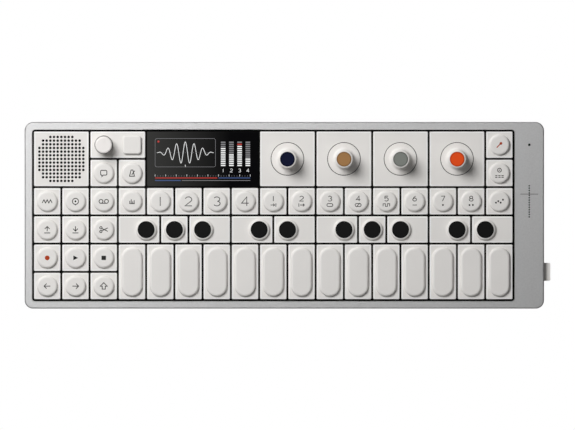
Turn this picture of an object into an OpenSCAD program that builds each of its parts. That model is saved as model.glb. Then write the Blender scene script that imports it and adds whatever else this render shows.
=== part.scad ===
// Portable synthesizer: a flat metal case with a grid of keys, four encoders,
// a display and a speaker. Sizes are in millimetres.
// The part stands on its feet at Z = 0, the player sits at -Y, and the origin
// is under the middle of the box round everything, power slider included.

/* [Case] */
// Width of the rim from the case edge to the grid opening
rim_w = 4.15; // [3.8:0.05:6]
// Width of the plain panel at the right of the grid
panel_w = 16.2; // [14:0.1:24]
// Corner radius of the case, seen from above
corner_r = 4.6; // [3.4:0.1:8]
// Radius of the rounded upper edge
edge_r = 0.7; // [0.3:0.1:1.2]
// Thickness of the side walls
wall_t = 2.2; // [1.6:0.1:2.8]
// Thickness of the rim and the right panel
rim_t = 2; // [1.4:0.1:2.4]
// Bevel round the grid opening
opening_bevel = 0.25; // [0.1:0.05:0.5]
// Thickness of the base plate
base_t = 1.5; // [1.2:0.1:2.5]
// Clearance of inner plates to the side walls
plate_gap = 0.15; // [0.1:0.05:0.3]

/* [Key grid] */
// Distance from one cell of the grid to the next
pitch = 15.45; // [14.5:0.05:17]
// Width of the groove between tiles
gap = 1; // [0.6:0.05:1.2]
// Thickness of a tile
tile_t = 1.6; // [1.2:0.1:2.4]
// Corner radius of a tile, seen from above
tile_r = 0.6; // [0.4:0.1:1]
// Bevel of a tile's upper edge
tile_bevel = 0.25; // [0.1:0.05:0.4]
// Travel of a key
key_travel = 1.2; // [0.8:0.1:2]
// Room left under a tile when its key is down
travel_spare = 0.2; // [0.2:0.1:0.6]

/* [Key buttons] */
// Diameter of a round button at its foot
button_d = 11.5; // [9.5:0.1:13]
// Height of buttons and pads over the tile
button_h = 1.6; // [1.2:0.1:2.4]
// Radius of the rounded shoulder of buttons and pads
button_edge = 1.4; // [0.5:0.1:1.5]
// Width of the long pad on a white key
pad_w = 11.7; // [9.5:0.1:13]
// Margin from the end of the long pad to the end of its tile
pad_margin = 1.45; // [1:0.05:3]
// Diameter of the black disc on a black key
disc_d = 9.3; // [6:0.1:9.4]
// Height of the black disc over its button
disc_h = 0.12; // [0.1:0.02:0.4]

/* [Key guides] */
// Width of a key's square stem
stem_w = 4; // [3:0.1:5]
// Clearance round a stem in the deck
stem_gap = 0.15; // [0.1:0.05:0.25]
// Width of the catch on each side of a stem, under the deck
catch_w = 0.5; // [0.3:0.1:0.8]
// Length of a stem below the deck
stem_past = 0.4; // [0.35:0.05:0.8]
// Play between a catch and the deck
catch_play = 0.05; // [0.02:0.01:0.1]
// Thickness of the deck
deck_t = 1.5; // [1.2:0.1:2.5]
// Height of a rubber dome
dome_h = 1.8; // [1.6:0.1:3]
// Diameter of a rubber dome at its foot
dome_d = 6; // [5:0.2:8]
// Thickness of the rubber sheet
mat_t = 0.4; // [0.3:0.05:0.5]
// Diameter of the deck's legs on the board
leg_d = 4; // [3:0.2:6]

/* [Encoders] */
// Diameter of the flush skirt of an encoder knob
skirt_d = 17.6; // [15:0.1:22]
// Gap between a skirt and its tile
skirt_gap = 0.35; // [0.3:0.05:0.6]
// Diameter of the knob's stem
knob_d = 9.8; // [8.6:0.1:13]
// Height of the knob over the tile
knob_h = 10.8; // [6:0.2:16]
// Radius of the knob's upper edge
knob_edge = 0.7; // [0.2:0.05:0.7]
// Radius of the fillet where the stem meets the skirt
knob_fillet = 1.6; // [0.4:0.1:2]
// Diameter of the coloured cap
cap_d = 8.05; // [6:0.05:8.3]
// Depth of the cap in its knob
cap_t = 1.2; // [0.6:0.1:3]
// Height of the cap over its knob
cap_proud = 0.15; // [0.1:0.05:0.5]
// Clearance round the cap
cap_gap = 0.05; // [0.02:0.01:0.1]
// Width of the square encoder body
encoder_w = 12.4; // [11:0.2:14]
// Diameter of the spindle under an encoder knob
spindle_d = 6; // [4:0.1:7]
// Running clearance of the spindles
spindle_gap = 0.05; // [0.02:0.01:0.1]

/* [Volume and rocker] */
// Diameter of the volume knob
volume_d = 9.4; // [8:0.1:12]
// Height of the volume knob over its tile
volume_h = 8.5; // [2:0.1:12]
// Radius of the volume knob's upper edge
volume_edge = 1.1; // [0.4:0.1:1.4]
// Number of grip ribs round the volume knob
volume_ribs = 48; // [24:4:60]
// Width of the square potentiometer body
pot_w = 9.6; // [8:0.2:11]
// Diameter of the spindle under the volume knob
pot_spindle_d = 4; // [3:0.1:5]
// Width of the square rocker pad
rocker_w = 10.2; // [8:0.1:11.4]
// Corner radius of the rocker pad
rocker_r = 1.7; // [1.2:0.1:3]
// Height of the rocker pad over its tile
rocker_h = 1.7; // [1.4:0.1:2.5]
// Room under the rocker pad, so that it can rock
rocker_lift = 0.5; // [0.4:0.05:0.7]
// Gap round the rocker's stem
rocker_gap = 0.45; // [0.4:0.05:0.7]
// Diameter of the rocker's pivot pins
pivot_d = 1.2; // [1:0.05:1.6]
// Running clearance of the pivot pins
pivot_gap = 0.05; // [0.02:0.01:0.1]

/* [Speaker and display] */
// Diameter of a grille hole
hole_d = 1.4; // [0.7:0.05:1.45]
// Distance between grille holes
hole_pitch = 2; // [1.7:0.05:2.2]
// Diameter of the speaker driver
driver_d = 27; // [20:0.5:29]
// Thickness of the display window
glass_t = 1; // [0.7:0.1:1.6]
// Margin from the edge of the window to the panel under it
panel_inset = 2; // [1:0.1:4]

/* [Right end] */
// How far the power slider stands out of the case
slider_out = 3.5; // [2:0.1:6]
// Length of the power slider
slider_l = 9.8; // [7:0.1:12]
// Height of the power slider
slider_h = 2.8; // [2:0.1:3]
// Travel of the power slider
slider_travel = 4; // [2:0.5:6]
// Clearance round the power slider
slider_gap = 0.25; // [0.2:0.05:0.4]
// Bore of the audio sockets
audio_d = 3.6; // [3.5:0.05:3.7]
// Height of the sockets under the board
socket_h = 4.4; // [4.2:0.1:6]
// Room between the sockets and the base plate
socket_room = 0.3; // [0.2:0.1:0.8]
// Clearance of a socket in its window
socket_gap = 0.15; // [0.1:0.05:0.3]
// Thickness of the main board
board_t = 1.2; // [0.8:0.1:2]
// Diameter of the microphone hole
mic_d = 1.4; // [0.6:0.1:2]
// Diameter of a level light hole
light_d = 0.85; // [0.4:0.05:1]
// Distance between level light holes
light_pitch = 1.31; // [1.2:0.01:1.6]

/* [Feet and screws] */
// Diameter of a rubber foot
foot_d = 10; // [6:0.5:16]
// Height of a foot under the base plate
foot_h = 1.2; // [0.8:0.1:3]
// Depth of a foot in the base plate
foot_sunk = 0.5; // [0.3:0.1:0.6]
// Distance from the case edges to the middle of a foot
foot_inset = 14; // [12:0.5:30]
// Diameter of the screws
screw_d = 2; // [1.6:0.1:2.4]
// Length of the screws in the case
screw_l = 5; // [3:0.5:6]
// Clearance round the screws
screw_gap = 0.04; // [0.02:0.01:0.1]
// Diameter of the screw pillars in the case
pillar_d = 5.2; // [4.4:0.1:6]

/* [Hidden] */
$fn = 48;

columns = 17;
rows = 6;
light_count = 14;
// The first column of the piano keys
piano_col = 3;

// Edges and button centres of the black keys, in cells from the first piano column
black_edges = [0, 1.5, 2.5, 4, 5.5, 7, 8.5, 9.5, 11, 12.5, 14];
black_mids = [1, 2, 3, 5, 6, 8, 9, 10, 12, 13];
white_count = 14;

// Cells of the round keys, as [column, row] counted from the upper left
upper_left_cells = [[2, 1], [3, 1]];
upper_right_cells = [[16, 0], [16, 1]];
mode_cells = [[0, 2], [1, 2], [2, 2], [3, 2], [16, 2]];
track_cells = [for (c = [4:7]) [c, 2]];
sound_cells = [for (c = [8:15]) [c, 2]];
edit_cells = [[0, 3], [1, 3], [2, 3]];
record_cells = [[0, 4]];
play_cells = [[1, 4]];
stop_cells = [[2, 4]];
cursor_cells = [[0, 5], [1, 5], [2, 5]];
round_cells = concat(upper_left_cells, upper_right_cells, mode_cells, track_cells, sound_cells,
    edit_cells, record_cells, play_cells, stop_cells, cursor_cells);

// Grid corners where the deck stands on the board, and the board on the base plate
leg_cells = [for (c = [1, 5, 9, 13, 16], r = [2, 5]) [c, r]];
// Middles of the encoder tiles
encoder_cols = [9, 11, 13, 15];
encoder_row = 1;
cap_colors = ["midnightblue", "goldenrod", "gray", "orangered"];

// Outline
opening_w = columns * pitch + gap;
opening_d = rows * pitch + gap;
opening_r = tile_r + gap;
body_w = rim_w + opening_w + panel_w;
body_d = opening_d + 2 * rim_w;
inner_w = body_w - 2 * wall_t;
inner_d = body_d - 2 * wall_t;
inner_r = corner_r - wall_t;
case_x = -slider_out / 2;
left_x = case_x - body_w / 2;
right_x = case_x + body_w / 2;
opening_x = left_x + rim_w + opening_w / 2;
panel_x = right_x - panel_w / 2;
grid_x = left_x + rim_w + gap / 2;
grid_y = rows * pitch / 2;

// Heights, from the feet up
base_z = foot_h;
base_top = base_z + base_t;
board_z = base_top + socket_room + socket_h;
board_top = board_z + board_t;
stem_z = board_top + dome_h;
deck_z = stem_z + stem_past;
deck_top = deck_z + deck_t;
tile_z = deck_top + travel_spare + key_travel;
case_top = tile_z + tile_t;
body_h = case_top - base_z;
rim_z = case_top - rim_t;
glass_z = case_top - glass_t;

// Shoulders of the buttons, and of those that carry a disc
button_round = min(button_edge, button_h - 0.1);
disc_round = min(button_round, (button_d - disc_d) / 2);
white_row = 5;
black_row = 3.5;

// Rotary controls
rotary_top = deck_top + travel_spare + key_travel / 2;
bushing_wall = 1.5;
spindle_z = board_top + 1;
encoder_hole_d = skirt_d + 2 * skirt_gap;
volume_hole_d = volume_d + 2 * skirt_gap;
knob_top = case_top + knob_h;
knob_round = max(0.05, min(knob_edge, (knob_d - cap_d) / 2 - cap_gap - 0.1));
volume_cell = [2.5, 0.5];

// Rocker
rocker_cell = [3.5, 0.5];
rocker_stem_w = 0.7 * rocker_w;
rocker_stem_d = 0.52 * rocker_w;
pivot_z = deck_z + 0.2;
pivot_l = 1.6;
lug_z = pivot_z - pivot_d / 2 - 0.6;
lug_w = pivot_d + 2;

// Right end
socket_y = [cy(0.8), cy(1.7)];
usb_y = cy(2.7);
socket_l = 14;
socket_w = audio_d + 2.8;
nose_d = audio_d + 2.2;
audio_z = board_z - socket_h / 2;
usb_w = 9.4;
usb_h = 3.6;
usb_l = 8;
slider_y = cy(5);
slider_z = (board_top + rim_z) / 2;
slider_flange_w = 1.4;
slider_flange_h = slider_h + 1;
switch_w = 5;
mic_y = cy(0.5);
lights_y = cy(2.5);
lights_top = (light_count - 1) / 2 * light_pitch;
level_line = [9.7, 0.35, 0.15];

// Screws and feet
pillar_inset = wall_t + pillar_d / 2 - 0.4;
pillar_x = body_w / 2 - pillar_inset;
pillar_y = body_d / 2 - pillar_inset;
pillar_top = stem_z - 0.2;
screw_spots = [for (x = [-pillar_x, 0, pillar_x], y = [-pillar_y, pillar_y]) [case_x + x, y]];
head_d = 2 * screw_d;
head_h = screw_d / 2;
foot_spots = [for (x = [-1, 1], y = [-1, 1])
    [case_x + x * (body_w / 2 - foot_inset), y * (body_d / 2 - foot_inset)]];

// Deck outline: it fills the case up to a lip right of the grid
deck_x0 = left_x + wall_t + plate_gap;
deck_x1 = opening_x + opening_w / 2 + rim_w - wall_t - plate_gap;
deck_w = deck_x1 - deck_x0;
deck_d = inner_d - 2 * plate_gap;
rib_inset = 0.2;

// Battery, between the posts
battery_cols = [9.5, 15.5];
battery_rows = [4.65, 2.35];
battery_x = [for (c = battery_cols) cx(c)];
battery_y = [for (r = battery_rows) cy(r)];
battery_room = 0.5;

// X of a column edge and Y of a row edge
function cx(c) = grid_x + c * pitch;
function cy(r) = grid_y - r * pitch;

function two_digits(n) = n < 10 ? str("0", n) : str(n);
function white_name(i) = str("white_key_", two_digits(i + 1));
function black_name(i) = str("black_key_", two_digits(i + 1));

// Shared forms

// Half section of a block with a rounded upper edge
module round_section(r, h, e) {
    square([r - e, h]);
    square([r, h - e]);
    translate([r - e, h - e])
        intersection() {
            circle(e);
            square(e);
        }
}

// Half section of a plate with a bevelled upper edge
module bevel_section(r, h, b) {
    polygon([[0, 0], [r, 0], [r, h - b], [r - b, h], [0, h]]);
}

// Half section of an opening that widens by a bevel at height h
module flare_section(r, h, b) {
    polygon([[0, 0], [r, 0], [r, h - b], [r + 2 * b, h + b], [0, h + b]]);
}

// Block on a rounded rectangle; the child is its edge section, drawn from the
// corner's centre outwards, and h is the section's height at that centre
module edge_block(w, d, r, h) {
    for (x = [r - w / 2, w / 2 - r], y = [r - d / 2, d / 2 - r])
        translate([x, y, 0])
            rotate_extrude()
                children();
    if (w > 2 * r)
        rotate([90, 0, 90])
            linear_extrude(w - 2 * r, center = true)
                mirrored_section(d / 2 - r, h)
                    children();
    if (d > 2 * r)
        rotate([90, 0, 0])
            linear_extrude(d - 2 * r, center = true)
                mirrored_section(w / 2 - r, h)
                    children();
}

module mirrored_section(x, h) {
    if (x > 0)
        translate([-x, 0])
            square([2 * x, h]);
    for (m = [0, 1])
        mirror([m, 0])
            translate([x, 0])
                children();
}

// Straight plate on a rounded rectangle
module flat_block(w, d, r, h) {
    linear_extrude(h) {
        square([w - 2 * r, d], center = true);
        square([w, d - 2 * r], center = true);
        for (x = [r - w / 2, w / 2 - r], y = [r - d / 2, d / 2 - r])
            translate([x, y])
                circle(r);
    }
}

// Box given by its middle in X and Y and its lower face
module box(w, d, h) {
    translate([-w / 2, -d / 2, 0])
        cube([w, d, h]);
}

// Tile of the grid, with its lower face at the given height of the case
module tile(cols, deep) {
    translate([0, 0, tile_z])
        edge_block(cols * pitch - gap, deep * pitch - gap, tile_r, tile_t)
            bevel_section(tile_r, tile_t, tile_bevel);
}

// Feet of a fixed tile on the deck
module tile_feet(cols, deep) {
    foot = 1.8;
    inset = gap / 2 + 1.1;
    for (x = [-1, 1], y = [-1, 1])
        translate([x * (cols * pitch / 2 - inset), y * (deep * pitch / 2 - inset), deck_top])
            cylinder(d = foot, h = tile_z - deck_top);
}

// Square stem with a catch under the deck; it rests on a dome
module key_stem() {
    translate([0, 0, stem_z])
        box(stem_w, stem_w, tile_z - stem_z);
    translate([0, 0, stem_z])
        box(stem_w + 2 * (stem_gap + catch_w), stem_w / 2, stem_past - catch_play);
}

module round_button(edge = button_round) {
    translate([0, 0, case_top])
        rotate_extrude()
            round_section(button_d / 2, button_h, edge);
}

module round_key(cell) {
    translate([cx(cell[0] + 0.5), cy(cell[1] + 0.5), 0]) {
        tile(1, 1);
        round_button();
        key_stem();
    }
}

module round_keys(cells) {
    color("whitesmoke")
        for (cell = cells)
            round_key(cell);
}

// Places where a key stem goes through the deck
function stem_spots() = concat(
    [for (cell = round_cells) [cx(cell[0] + 0.5), cy(cell[1] + 0.5)]],
    [for (m = black_mids) [cx(piano_col + m), cy(black_row)]],
    [for (i = [0:white_count - 1], s = [-0.5, 0.5]) [cx(piano_col + i + 0.5), cy(white_row + s)]]);

// Case and inner plates

module chassis() {
    color("silver")
        difference() {
            union() {
                difference() {
                    translate([case_x, 0, base_z])
                        edge_block(body_w, body_d, corner_r, body_h)
                            round_section(corner_r, body_h, edge_r);
                    translate([case_x, 0, base_z - 1])
                        flat_block(inner_w, inner_d, inner_r, rim_z - base_z + 1);
                }
                screw_pillars();
            }
            translate([opening_x, 0, rim_z - 1])
                edge_block(opening_w, opening_d, opening_r, rim_t + 1 + opening_bevel)
                    flare_section(opening_r, rim_t + 1, opening_bevel);
            for (p = screw_spots)
                translate([p[0], p[1], base_top - 1])
                    cylinder(d = screw_d + 2 * screw_gap, h = screw_l + 1.5);
            right_panel_holes();
            right_end_windows();
        }
}

// Pillars that join the front and back walls
module screw_pillars() {
    h = pillar_top - base_top;
    for (p = screw_spots) {
        side = p[1] > 0 ? 1 : -1;
        translate([p[0], p[1], base_top])
            cylinder(d = pillar_d, h = h);
        translate([p[0], p[1] + side * pillar_inset / 4, base_top])
            box(pillar_d, pillar_inset / 2, h);
    }
}

module right_panel_holes() {
    translate([panel_x, mic_y, rim_z - 1])
        cylinder(d = mic_d, h = rim_t + 2, $fn = 24);
    for (i = [0:light_count - 1])
        translate([panel_x, lights_y + lights_top - i * light_pitch, rim_z - 1])
            cylinder(d = light_d, h = rim_t + 2, $fn = 24);
    translate([panel_x, lights_y + lights_top - 3.5 * light_pitch, case_top - level_line[2]])
        box(level_line[0], level_line[1], 1);
}

module right_end_windows() {
    depth = wall_t + 2;
    slot_h = usb_h + 2 * socket_gap;
    for (y = socket_y)
        translate([right_x - depth, y, audio_z])
            rotate([0, 90, 0])
                cylinder(d = nose_d + 2 * socket_gap, h = 2 * depth);
    translate([right_x - depth, usb_y, board_z - usb_h / 2])
        end_block(usb_w + 2 * socket_gap, slot_h, slot_h / 2 - 0.05, 2 * depth);
    translate([right_x - depth, slider_y + slider_travel / 2, slider_z])
        end_block(slider_l + slider_travel + 2 * slider_gap, slider_h + 2 * slider_gap, 0.6, 2 * depth);
}

// Straight block along X on a rounded rectangle, given by its width, height and corner radius
module end_block(w, h, r, l) {
    rotate([90, 0, 90])
        flat_block(w, h, r, l);
}

module base_plate() {
    w = inner_w - 2 * plate_gap;
    d = inner_d - 2 * plate_gap;
    post_d = leg_d + 1;
    color("silver")
        difference() {
            union() {
                translate([case_x, 0, base_z])
                    flat_block(w, d, inner_r - plate_gap, base_t);
                for (cell = leg_cells)
                    translate([cx(cell[0]), cy(cell[1]), base_top - 0.5])
                        cylinder(d = post_d, h = board_z - base_top + 0.5);
            }
            for (p = screw_spots)
                translate([p[0], p[1], base_z])
                    screw_form(screw_gap, 1, base_t);
            for (p = foot_spots)
                translate([p[0], p[1], base_z - 1])
                    cylinder(d = foot_d, h = foot_sunk + 1);
        }
}

// Countersunk screw, head down, with its head face at Z = 0
module screw_form(grow, below, length) {
    translate([0, 0, -below])
        cylinder(d = head_d + 2 * grow, h = below);
    cylinder(d1 = head_d + 2 * grow, d2 = screw_d + 2 * grow, h = head_h);
    cylinder(d = screw_d + 2 * grow, h = length + 0.5);
}

module case_screws() {
    color("dimgray")
        for (p = screw_spots)
            translate([p[0], p[1], base_z])
                difference() {
                    screw_form(0, 0, base_t + screw_l);
                    translate([0, 0, -1])
                        cylinder(d = 0.7 * screw_d, h = 1 + 0.6 * head_h, $fn = 6);
                }
}

module feet() {
    color("black")
        for (p = foot_spots)
            translate([p[0], p[1], base_z + foot_sunk])
                mirror([0, 0, 1])
                    rotate_extrude()
                        round_section(foot_d / 2, foot_h + foot_sunk, 0.4);
}

module key_deck() {
    rim_h = rim_z - deck_top;
    lip = rim_w - wall_t - plate_gap - rib_inset;
    color("dimgray")
        difference() {
            union() {
                translate([(deck_x0 + deck_x1) / 2, 0, deck_z])
                    flat_block(deck_w, deck_d, inner_r - plate_gap, deck_t);
                translate([(deck_x0 + deck_x1) / 2, 0, deck_top - 0.5])
                    difference() {
                        flat_block(deck_w, deck_d, inner_r - plate_gap, rim_h + 0.5);
                        translate([0, 0, -1])
                            box(deck_w - 2 * lip, deck_d - 2 * lip, rim_h + 3);
                    }
                for (cell = leg_cells)
                    translate([cx(cell[0]), cy(cell[1]), board_top])
                        cylinder(d = leg_d, h = deck_z - board_top + 0.5);
                at_cell(rocker_cell)
                    rocker_lugs();
            }
            for (p = stem_spots())
                translate([p[0], p[1], deck_z - 1])
                    box(stem_w + 2 * stem_gap, stem_w + 2 * stem_gap, deck_t + 2);
            for (c = encoder_cols)
                at_cell([c, encoder_row])
                    through(encoder_w + 1);
            at_cell(volume_cell)
                through(pot_w + 1);
            at_cell([1, 1])
                translate([0, 0, deck_z - 1])
                    cylinder(d = basket_d() + 0.8, h = deck_t + 2);
            at_cell(rocker_cell)
                rocker_cut();
        }
}

module at_cell(cell) {
    translate([cx(cell[0]), cy(cell[1]), 0])
        children();
}

// Square window through the deck
module through(w) {
    translate([0, 0, deck_z - 1])
        box(w, w, deck_t + 2);
}

// Two lugs under the deck that carry the rocker's pivot
module rocker_lugs() {
    y = rocker_stem_d / 2 + rocker_gap + pivot_l / 2;
    for (s = [-1, 1])
        translate([0, s * y, lug_z])
            box(lug_w, pivot_l, deck_top - lug_z);
}

module rocker_cut() {
    translate([0, 0, lug_z - 1])
        box(rocker_stem_w + 2 * rocker_gap, rocker_stem_d + 2 * rocker_gap, deck_top - lug_z + 2);
    translate([0, 0, pivot_z])
        rotate([90, 0, 0])
            cylinder(d = pivot_d + 2 * pivot_gap, h = rocker_stem_d + 4 * pivot_l, center = true);
}

module main_board() {
    edge = 0.5;
    x0 = left_x + wall_t + edge;
    x1 = right_x - wall_t - edge;
    notch = pillar_d + 2 * edge;
    chip_h = 1.2;
    color("darkgreen")
        difference() {
            union() {
                translate([(x0 + x1) / 2, 0, board_z])
                    flat_block(x1 - x0, inner_d - 2 * edge, inner_r - edge, board_t);
                // Processor, memory and sound chips under the board
                translate([cx(6.5), cy(3), board_z - chip_h])
                    box(14, 14, chip_h + 0.2);
                translate([cx(7.8), cy(3), board_z - chip_h])
                    box(10, 12, chip_h + 0.2);
                translate([cx(3), cy(3.2), board_z - chip_h])
                    box(9, 9, chip_h + 0.2);
                translate([cx(2.5), cy(1), board_z - chip_h])
                    box(6, 6, chip_h + 0.2);
                // Microphone and level lights under the right panel
                translate([panel_x, mic_y, board_top - 0.2])
                    box(4, 3, 1.3);
                for (i = [0:light_count - 1])
                    translate([panel_x, lights_y + lights_top - i * light_pitch, board_top - 0.2])
                        box(1.6, 0.7 * light_pitch, 0.8);
                power_switch();
            }
            for (p = screw_spots)
                translate([p[0], p[1] + (p[1] > 0 ? 1 : -1) * notch / 2, board_z - 1])
                    box(notch, 2 * notch, board_t + 2);
        }
}

// Switch body on the board, with a channel for the slider's peg
module power_switch() {
    x = right_x - wall_t - slider_gap - slider_flange_w - slider_gap - switch_w / 2;
    w = slider_l + slider_travel;
    h = slider_z + slider_h / 2 - board_top;
    difference() {
        translate([x, slider_y + slider_travel / 2, board_top - 0.2])
            box(switch_w, w, h + 0.2);
        translate([x + switch_w / 2, slider_y + slider_travel / 2, slider_z - peg_w() / 2 - slider_gap])
            box(switch_w, peg_w() + slider_travel + 2 * slider_gap, peg_w() + 2 * slider_gap);
    }
}

function peg_w() = 1.4;

module key_domes() {
    edge = leg_d / 2 + 0.6;
    color("gainsboro")
        difference() {
            union() {
                mat_sheet(0.1, columns - 0.1, 2, 6, edge);
                mat_sheet(2.1, 3.9, 0.1, 2.6, 0);
                mat_sheet(16.3, columns - 0.1, 0.1, 2.6, 0);
                for (p = stem_spots())
                    translate([p[0], p[1], board_top])
                        dome();
                for (s = [-1, 1])
                    at_cell(rocker_cell)
                        translate([s * rocker_stem_w * 0.28, 0, board_top])
                            dome();
            }
            for (cell = leg_cells)
                translate([cx(cell[0]), cy(cell[1]), board_top - 1])
                    cylinder(d = leg_d + 1, h = mat_t + 2);
            at_cell(volume_cell)
                translate([0, 0, board_top - 1])
                    box(pot_w + 1, pot_w + 1, mat_t + 2);
        }
}

// Part of the rubber sheet, between two columns and two rows
module mat_sheet(c0, c1, r0, r1, upper) {
    translate([cx(c0), cy(r1) + 0.5, board_top])
        cube([cx(c1) - cx(c0), cy(r0) - cy(r1) - upper - 0.5, mat_t]);
}

module dome() {
    cylinder(d1 = dome_d, d2 = 0.75 * dome_d, h = dome_h);
}

// Fixed tiles and what lies under them

// Number of grille holes in the row at distance j from the middle row
function grille_count(j) = j == 6 ? 3 : j >= 4 ? 5 : 6;

module speaker_grille() {
    color("whitesmoke")
        at_cell([1, 1])
            difference() {
                union() {
                    tile(2, 2);
                    tile_feet(2, 2);
                }
                for (j = [-6:6])
                    for (i = [-grille_count(abs(j)):grille_count(abs(j))])
                        translate([i * hole_pitch, j * hole_pitch, tile_z - 1])
                            cylinder(d = hole_d, h = tile_t + 2, $fn = 16);
            }
}

function basket_d() = 0.92 * driver_d;

module speaker_driver() {
    r = driver_d / 2;
    low = board_top + 0.5;
    brim = deck_top + 0.6;
    color("darkslategray")
        at_cell([1, 1])
            rotate_extrude()
                polygon([[0, low], [0.55 * r, low], [0.55 * r, low + 1.4], [0.9 * r, deck_top],
                    [r, deck_top], [r, brim], [0.86 * r, brim], [0.4 * r, brim - 1.2],
                    [0, brim - 0.9]]);
}

module control_tiles() {
    color("whitesmoke") {
        for (c = encoder_cols)
            at_cell([c, encoder_row])
                difference() {
                    union() {
                        tile(2, 2);
                        tile_feet(2, 2);
                    }
                    translate([0, 0, tile_z - 1])
                        cylinder(d = encoder_hole_d, h = tile_t + 2);
                }
        difference() {
            at_cell([3, 0.5]) {
                tile(2, 1);
                tile_feet(2, 1);
            }
            at_cell(volume_cell)
                translate([0, 0, tile_z - 1])
                    cylinder(d = volume_hole_d, h = tile_t + 2);
            at_cell(rocker_cell)
                translate([0, 0, tile_z - 1])
                    box(rocker_stem_w + 2 * rocker_gap, rocker_stem_d + 2 * rocker_gap, tile_t + 2);
        }
    }
}

module display_glass() {
    color("black")
        at_cell([6, 1])
            translate([0, 0, glass_z])
                edge_block(4 * pitch - gap, 2 * pitch - gap, tile_r, glass_t)
                    bevel_section(tile_r, glass_t, tile_bevel / 2);
}

module display_panel() {
    color("dimgray")
        at_cell([6, 1])
            translate([0, 0, deck_top])
                box(4 * pitch - gap - 2 * panel_inset, 2 * pitch - gap - 2 * panel_inset,
                    glass_z - deck_top);
}

module rotary_bodies() {
    color("darkgray") {
        for (c = encoder_cols)
            at_cell([c, encoder_row])
                rotary_body(encoder_w, spindle_d);
        at_cell(volume_cell)
            rotary_body(pot_w, pot_spindle_d);
    }
}

module rotary_body(w, d) {
    bore = d + 2 * spindle_gap;
    difference() {
        union() {
            translate([0, 0, board_top])
                box(w, w, deck_top - board_top - 0.2);
            translate([0, 0, board_top])
                cylinder(d = bore + 2 * bushing_wall, h = rotary_top - board_top);
        }
        translate([0, 0, spindle_z - 0.2])
            cylinder(d = bore, h = rotary_top);
    }
}

module battery_pack() {
    w = battery_x[1] - battery_x[0];
    d = battery_y[1] - battery_y[0];
    color("steelblue")
        translate([(battery_x[0] + battery_x[1]) / 2, (battery_y[0] + battery_y[1]) / 2, base_top])
            flat_block(w, d, 2, board_z - base_top - battery_room);
}

// Audio sockets with a round nose in the wall, and the charging socket
module side_sockets() {
    body_l = socket_l - wall_t - socket_gap;
    color("darkslategray") {
        for (y = socket_y)
            difference() {
                union() {
                    translate([right_x - socket_l + body_l / 2, y, board_z - socket_h])
                        box(body_l, socket_w, socket_h);
                    translate([right_x - wall_t - socket_gap - 0.5, y, audio_z])
                        rotate([0, 90, 0])
                            cylinder(d = socket_h - 0.2, h = wall_t);
                    translate([right_x - wall_t, y, audio_z])
                        rotate([0, 90, 0])
                            cylinder(d = nose_d, h = wall_t);
                }
                translate([right_x - socket_l + 1.5, y, audio_z])
                    rotate([0, 90, 0])
                        cylinder(d = audio_d, h = socket_l);
            }
        usb_socket();
    }
}

module usb_socket() {
    shell = 0.5;
    slot_h = usb_h - 2 * shell;
    tongue_h = 0.7;
    translate([right_x, usb_y, board_z - usb_h / 2]) {
        difference() {
            translate([-usb_l, 0, 0])
                end_block(usb_w, usb_h, usb_h / 2 - 0.05, usb_l);
            translate([1 - usb_l, 0, 0])
                end_block(usb_w - 2 * shell, slot_h, slot_h / 2 - 0.05, usb_l);
        }
        translate([-usb_l + 0.5, -(usb_w - 3) / 2, -tongue_h / 2])
            cube([usb_l - 1.5, usb_w - 3, tongue_h]);
    }
}

// Moving pieces

module encoder_knob(i) {
    color("whitesmoke")
        at_cell([encoder_cols[i], encoder_row])
            rotate_extrude()
                difference() {
                    union() {
                        translate([0, spindle_z])
                            square([spindle_d / 2, case_top - spindle_z]);
                        translate([0, tile_z])
                            round_section(skirt_d / 2, tile_t, tile_bevel);
                        translate([0, tile_z])
                            round_section(knob_d / 2, tile_t + knob_h, knob_round);
                        translate([knob_d / 2, case_top])
                            difference() {
                                square(knob_fillet);
                                translate([knob_fillet, knob_fillet])
                                    circle(knob_fillet);
                            }
                    }
                    translate([0, knob_top - cap_t])
                        square([cap_d / 2 + cap_gap, cap_t + 1]);
                }
}

module encoder_cap(i) {
    color(cap_colors[i])
        at_cell([encoder_cols[i], encoder_row])
            translate([0, 0, knob_top - cap_t])
                rotate_extrude()
                    round_section(cap_d / 2, cap_t + cap_proud, 0.25);
}

module volume_knob() {
    n = volume_ribs;
    r = volume_d / 2;
    color("whitesmoke")
        at_cell(volume_cell) {
            difference() {
                intersection() {
                    translate([0, 0, tile_z])
                        linear_extrude(tile_t + volume_h + 1)
                            polygon([for (k = [0:2 * n - 1])
                                (r - (k % 2) * 0.14) * [cos(180 * k / n), sin(180 * k / n)]]);
                    translate([0, 0, tile_z])
                        rotate_extrude()
                            round_section(r + 0.05, tile_t + volume_h, volume_edge);
                }
                rotate([0, 0, 70])
                    translate([0.2 * r, -0.25, case_top + volume_h - 0.25])
                        cube([0.5 * r, 0.5, 1]);
            }
            translate([0, 0, spindle_z])
                cylinder(d = pot_spindle_d, h = tile_z - spindle_z + 0.5);
        }
}

// Pad that covers the hole in its tile, on a stem with a pivot under the deck
module bend_paddle() {
    h = rocker_h - rocker_lift;
    pad_z = case_top + rocker_lift;
    pin_l = rocker_stem_d + 2 * (rocker_gap + pivot_l) - 0.2;
    color("whitesmoke")
        at_cell(rocker_cell) {
            translate([0, 0, pad_z])
                edge_block(rocker_w, rocker_w, rocker_r, h)
                    round_section(rocker_r, h, min(0.9, h - 0.1));
            translate([0, 0, stem_z])
                box(rocker_stem_w, rocker_stem_d, pad_z - stem_z + 0.1);
            translate([0, 0, pivot_z])
                rotate([90, 0, 0])
                    cylinder(d = pivot_d, h = pin_l, center = true);
        }
}

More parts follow.
